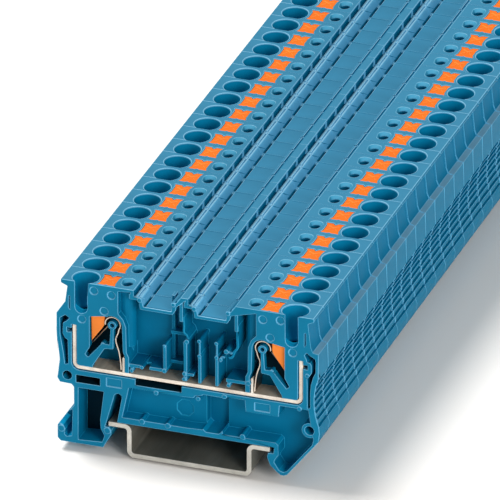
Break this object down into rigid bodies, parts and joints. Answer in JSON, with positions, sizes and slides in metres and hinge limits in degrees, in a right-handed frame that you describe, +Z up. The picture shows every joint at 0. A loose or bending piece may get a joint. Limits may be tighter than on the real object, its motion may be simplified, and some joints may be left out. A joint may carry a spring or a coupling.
{
  "type": "din rail terminal block",
  "caption": "Row of blue push-in feed-through terminal modules clipped on a top-hat rail, with the open front module showing its current bar and clamping springs.",
  "frame": {"origin": "centre of the rail's mounting face, on the underside of its web", "axes": "+X along each module from the latch foot to the fixed foot, +Y along the rail away from the open face of the front module, +Z up from the mounting face"},
  "size_m": [0.0569, 0.1652, 0.0386],
  "materials": {
    "housing_plastic": "blue moulded polyamide, fine satin",
    "button_plastic": "orange moulded polyamide, fine satin",
    "tinned_copper": "tin-plated copper strip, satin",
    "spring_steel": "rolled stainless spring strip",
    "zinc_plated_steel": "zinc-plated and passivated sheet, satin"
  },
  "bodies": {
    "bank": {"din_rail": "zinc_plated_steel", "housing_01": "housing_plastic", "housing_02": "housing_plastic", "housing_03": "housing_plastic", "housing_04": "housing_plastic", "housing_05": "housing_plastic", "housing_06": "housing_plastic", "housing_07": "housing_plastic", "housing_08": "housing_plastic", "housing_09": "housing_plastic", "housing_10": "housing_plastic", "housing_11": "housing_plastic", "housing_12": "housing_plastic", "housing_13": "housing_plastic", "housing_14": "housing_plastic", "housing_15": "housing_plastic", "housing_16": "housing_plastic", "housing_17": "housing_plastic", "housing_18": "housing_plastic", "housing_19": "housing_plastic", "housing_20": "housing_plastic", "housing_21": "housing_plastic", "housing_22": "housing_plastic", "housing_23": "housing_plastic", "housing_24": "housing_plastic", "housing_25": "housing_plastic", "housing_26": "housing_plastic", "current_bar": "tinned_copper", "spring_loop_left": "spring_steel", "spring_loop_right": "spring_steel"},
    "button_left_01": {"button_left_01": "button_plastic"},
    "button_right_01": {"button_right_01": "button_plastic"},
    "button_left_02": {"button_left_02": "button_plastic"},
    "button_right_02": {"button_right_02": "button_plastic"},
    "button_left_03": {"button_left_03": "button_plastic"},
    "button_right_03": {"button_right_03": "button_plastic"},
    "button_left_04": {"button_left_04": "button_plastic"},
    "button_right_04": {"button_right_04": "button_plastic"},
    "button_left_05": {"button_left_05": "button_plastic"},
    "button_right_05": {"button_right_05": "button_plastic"},
    "button_left_06": {"button_left_06": "button_plastic"},
    "button_right_06": {"button_right_06": "button_plastic"},
    "button_left_07": {"button_left_07": "button_plastic"},
    "button_right_07": {"button_right_07": "button_plastic"},
    "button_left_08": {"button_left_08": "button_plastic"},
    "button_right_08": {"button_right_08": "button_plastic"},
    "button_left_09": {"button_left_09": "button_plastic"},
    "button_right_09": {"button_right_09": "button_plastic"},
    "button_left_10": {"button_left_10": "button_plastic"},
    "button_right_10": {"button_right_10": "button_plastic"},
    "button_left_11": {"button_left_11": "button_plastic"},
    "button_right_11": {"button_right_11": "button_plastic"},
    "button_left_12": {"button_left_12": "button_plastic"},
    "button_right_12": {"button_right_12": "button_plastic"},
    "button_left_13": {"button_left_13": "button_plastic"},
    "button_right_13": {"button_right_13": "button_plastic"},
    "button_left_14": {"button_left_14": "button_plastic"},
    "button_right_14": {"button_right_14": "button_plastic"},
    "spring_leg_left": {"spring_leg_left": "spring_steel"},
    "spring_leg_right": {"spring_leg_right": "spring_steel"}
  },
  "joints": [
    {"name": "press_left_01", "type": "slide", "parent": "bank", "child": "button_left_01", "axis": [0, 0, -1], "range_m": [0, 0.0015], "stiffness_N_per_m": 2000},
    {"name": "press_right_01", "type": "slide", "parent": "bank", "child": "button_right_01", "axis": [0, 0, -1], "range_m": [0, 0.0015], "stiffness_N_per_m": 2000},
    {"name": "press_left_02", "type": "slide", "parent": "bank", "child": "button_left_02", "axis": [0, 0, -1], "range_m": [0, 0.0015], "stiffness_N_per_m": 2000},
    {"name": "press_right_02", "type": "slide", "parent": "bank", "child": "button_right_02", "axis": [0, 0, -1], "range_m": [0, 0.0015], "stiffness_N_per_m": 2000},
    {"name": "press_left_03", "type": "slide", "parent": "bank", "child": "button_left_03", "axis": [0, 0, -1], "range_m": [0, 0.0015], "stiffness_N_per_m": 2000},
    {"name": "press_right_03", "type": "slide", "parent": "bank", "child": "button_right_03", "axis": [0, 0, -1], "range_m": [0, 0.0015], "stiffness_N_per_m": 2000},
    {"name": "press_left_04", "type": "slide", "parent": "bank", "child": "button_left_04", "axis": [0, 0, -1], "range_m": [0, 0.0015], "stiffness_N_per_m": 2000},
    {"name": "press_right_04", "type": "slide", "parent": "bank", "child": "button_right_04", "axis": [0, 0, -1], "range_m": [0, 0.0015], "stiffness_N_per_m": 2000},
    {"name": "press_left_05", "type": "slide", "parent": "bank", "child": "button_left_05", "axis": [0, 0, -1], "range_m": [0, 0.0015], "stiffness_N_per_m": 2000},
    {"name": "press_right_05", "type": "slide", "parent": "bank", "child": "button_right_05", "axis": [0, 0, -1], "range_m": [0, 0.0015], "stiffness_N_per_m": 2000},
    {"name": "press_left_06", "type": "slide", "parent": "bank", "child": "button_left_06", "axis": [0, 0, -1], "range_m": [0, 0.0015], "stiffness_N_per_m": 2000},
    {"name": "press_right_06", "type": "slide", "parent": "bank", "child": "button_right_06", "axis": [0, 0, -1], "range_m": [0, 0.0015], "stiffness_N_per_m": 2000},
    {"name": "press_left_07", "type": "slide", "parent": "bank", "child": "button_left_07", "axis": [0, 0, -1], "range_m": [0, 0.0015], "stiffness_N_per_m": 2000},
    {"name": "press_right_07", "type": "slide", "parent": "bank", "child": "button_right_07", "axis": [0, 0, -1], "range_m": [0, 0.0015], "stiffness_N_per_m": 2000},
    {"name": "press_left_08", "type": "slide", "parent": "bank", "child": "button_left_08", "axis": [0, 0, -1], "range_m": [0, 0.0015], "stiffness_N_per_m": 2000},
    {"name": "press_right_08", "type": "slide", "parent": "bank", "child": "button_right_08", "axis": [0, 0, -1], "range_m": [0, 0.0015], "stiffness_N_per_m": 2000},
    {"name": "press_left_09", "type": "slide", "parent": "bank", "child": "button_left_09", "axis": [0, 0, -1], "range_m": [0, 0.0015], "stiffness_N_per_m": 2000},
    {"name": "press_right_09", "type": "slide", "parent": "bank", "child": "button_right_09", "axis": [0, 0, -1], "range_m": [0, 0.0015], "stiffness_N_per_m": 2000},
    {"name": "press_left_10", "type": "slide", "parent": "bank", "child": "button_left_10", "axis": [0, 0, -1], "range_m": [0, 0.0015], "stiffness_N_per_m": 2000},
    {"name": "press_right_10", "type": "slide", "parent": "bank", "child": "button_right_10", "axis": [0, 0, -1], "range_m": [0, 0.0015], "stiffness_N_per_m": 2000},
    {"name": "press_left_11", "type": "slide", "parent": "bank", "child": "button_left_11", "axis": [0, 0, -1], "range_m": [0, 0.0015], "stiffness_N_per_m": 2000},
    {"name": "press_right_11", "type": "slide", "parent": "bank", "child": "button_right_11", "axis": [0, 0, -1], "range_m": [0, 0.0015], "stiffness_N_per_m": 2000},
    {"name": "press_left_12", "type": "slide", "parent": "bank", "child": "button_left_12", "axis": [0, 0, -1], "range_m": [0, 0.0015], "stiffness_N_per_m": 2000},
    {"name": "press_right_12", "type": "slide", "parent": "bank", "child": "button_right_12", "axis": [0, 0, -1], "range_m": [0, 0.0015], "stiffness_N_per_m": 2000},
    {"name": "press_left_13", "type": "slide", "parent": "bank", "child": "button_left_13", "axis": [0, 0, -1], "range_m": [0, 0.0015], "stiffness_N_per_m": 2000},
    {"name": "press_right_13", "type": "slide", "parent": "bank", "child": "button_right_13", "axis": [0, 0, -1], "range_m": [0, 0.0015], "stiffness_N_per_m": 2000},
    {"name": "press_left_14", "type": "slide", "parent": "bank", "child": "button_left_14", "axis": [0, 0, -1], "range_m": [0, 0.0015], "stiffness_N_per_m": 2000},
    {"name": "press_right_14", "type": "slide", "parent": "bank", "child": "button_right_14", "axis": [0, 0, -1], "range_m": [0, 0.0015], "stiffness_N_per_m": 2000},
    {"name": "leg_bend_left", "type": "hinge", "parent": "bank", "child": "spring_leg_left", "pos_m": [-0.0181, -0.07935, 0.02855], "axis": [0, -1, 0], "range_deg": [0, 19]},
    {"name": "leg_bend_right", "type": "hinge", "parent": "bank", "child": "spring_leg_right", "pos_m": [0.0173, -0.07935, 0.02855], "axis": [0, 1, 0], "range_deg": [0, 19]}
  ],
  "couplings": [
    {"joint": "leg_bend_left", "follows": "press_left_01", "rad_per_m": 213},
    {"joint": "leg_bend_right", "follows": "press_right_01", "rad_per_m": 213}
  ]
}
